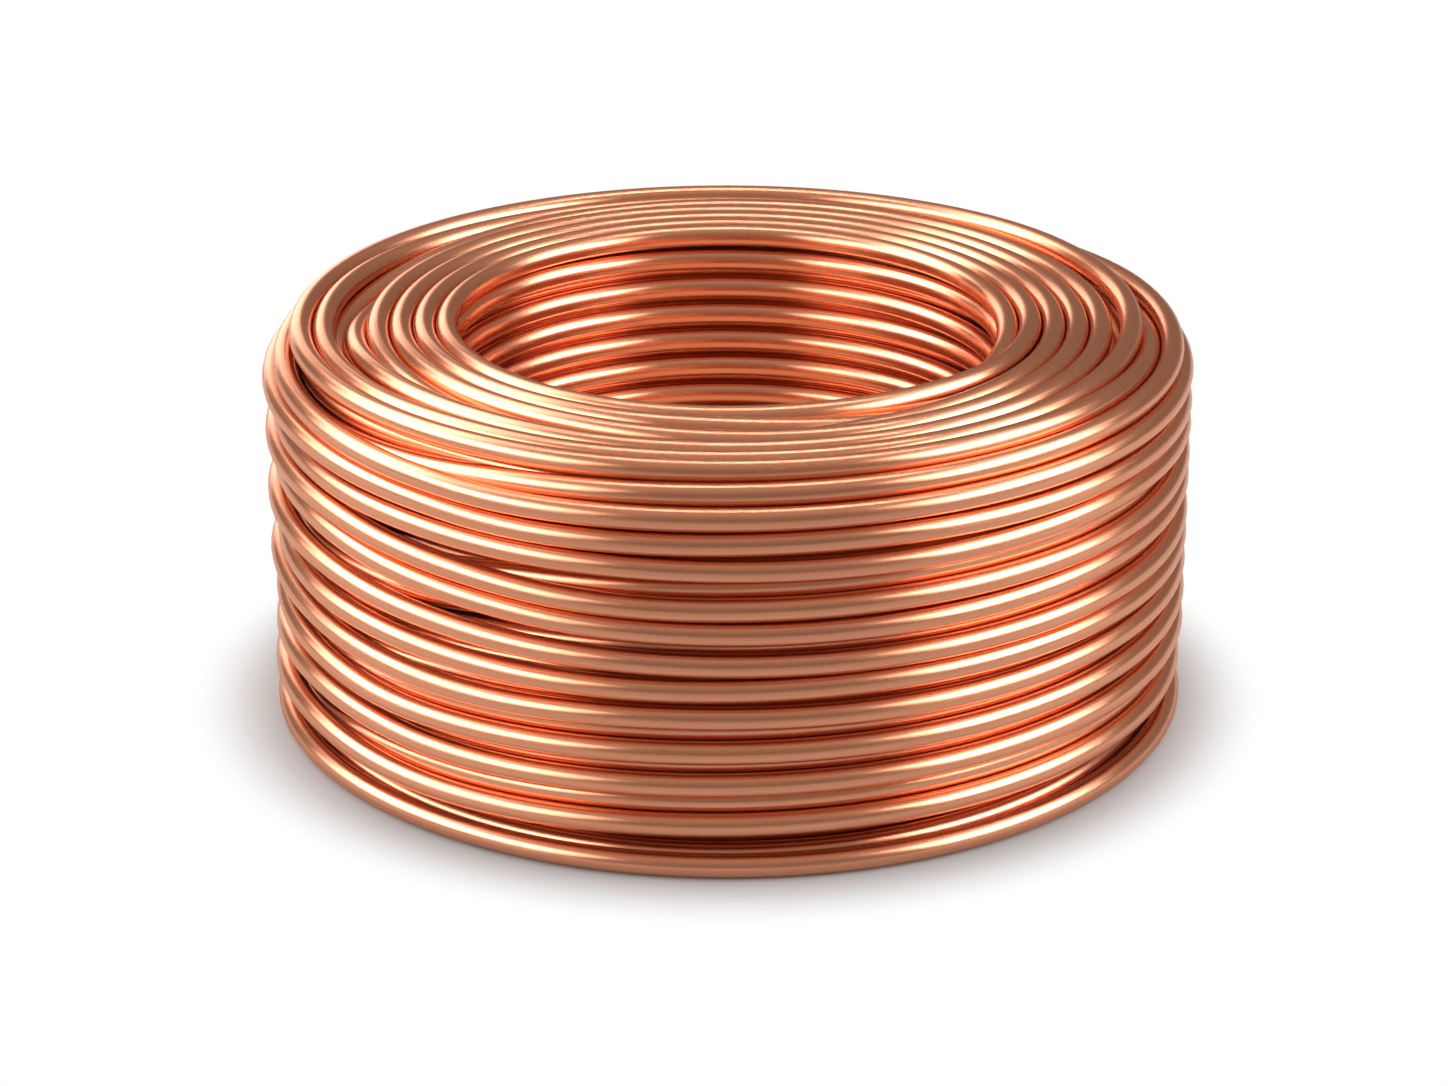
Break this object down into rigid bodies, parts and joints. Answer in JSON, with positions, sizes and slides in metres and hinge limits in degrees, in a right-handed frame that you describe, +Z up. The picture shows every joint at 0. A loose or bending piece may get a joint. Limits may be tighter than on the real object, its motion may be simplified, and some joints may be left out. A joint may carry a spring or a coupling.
{
  "type": "coil of copper wire rod",
  "caption": "Coil of bare round copper wire rod, wound in level layers about an open bore, standing on its end.",
  "frame": {"origin": "middle of the end that the coil stands on", "axes": "+Z up the coil's axis, through the bore; the coil looks the same all round it"},
  "size_m": [0.3196, 0.3196, 0.1406],
  "materials": {
    "copper_rod": null
  },
  "bodies": {
    "root": {"wire_coil": "copper_rod"}
  },
  "joints": []
}
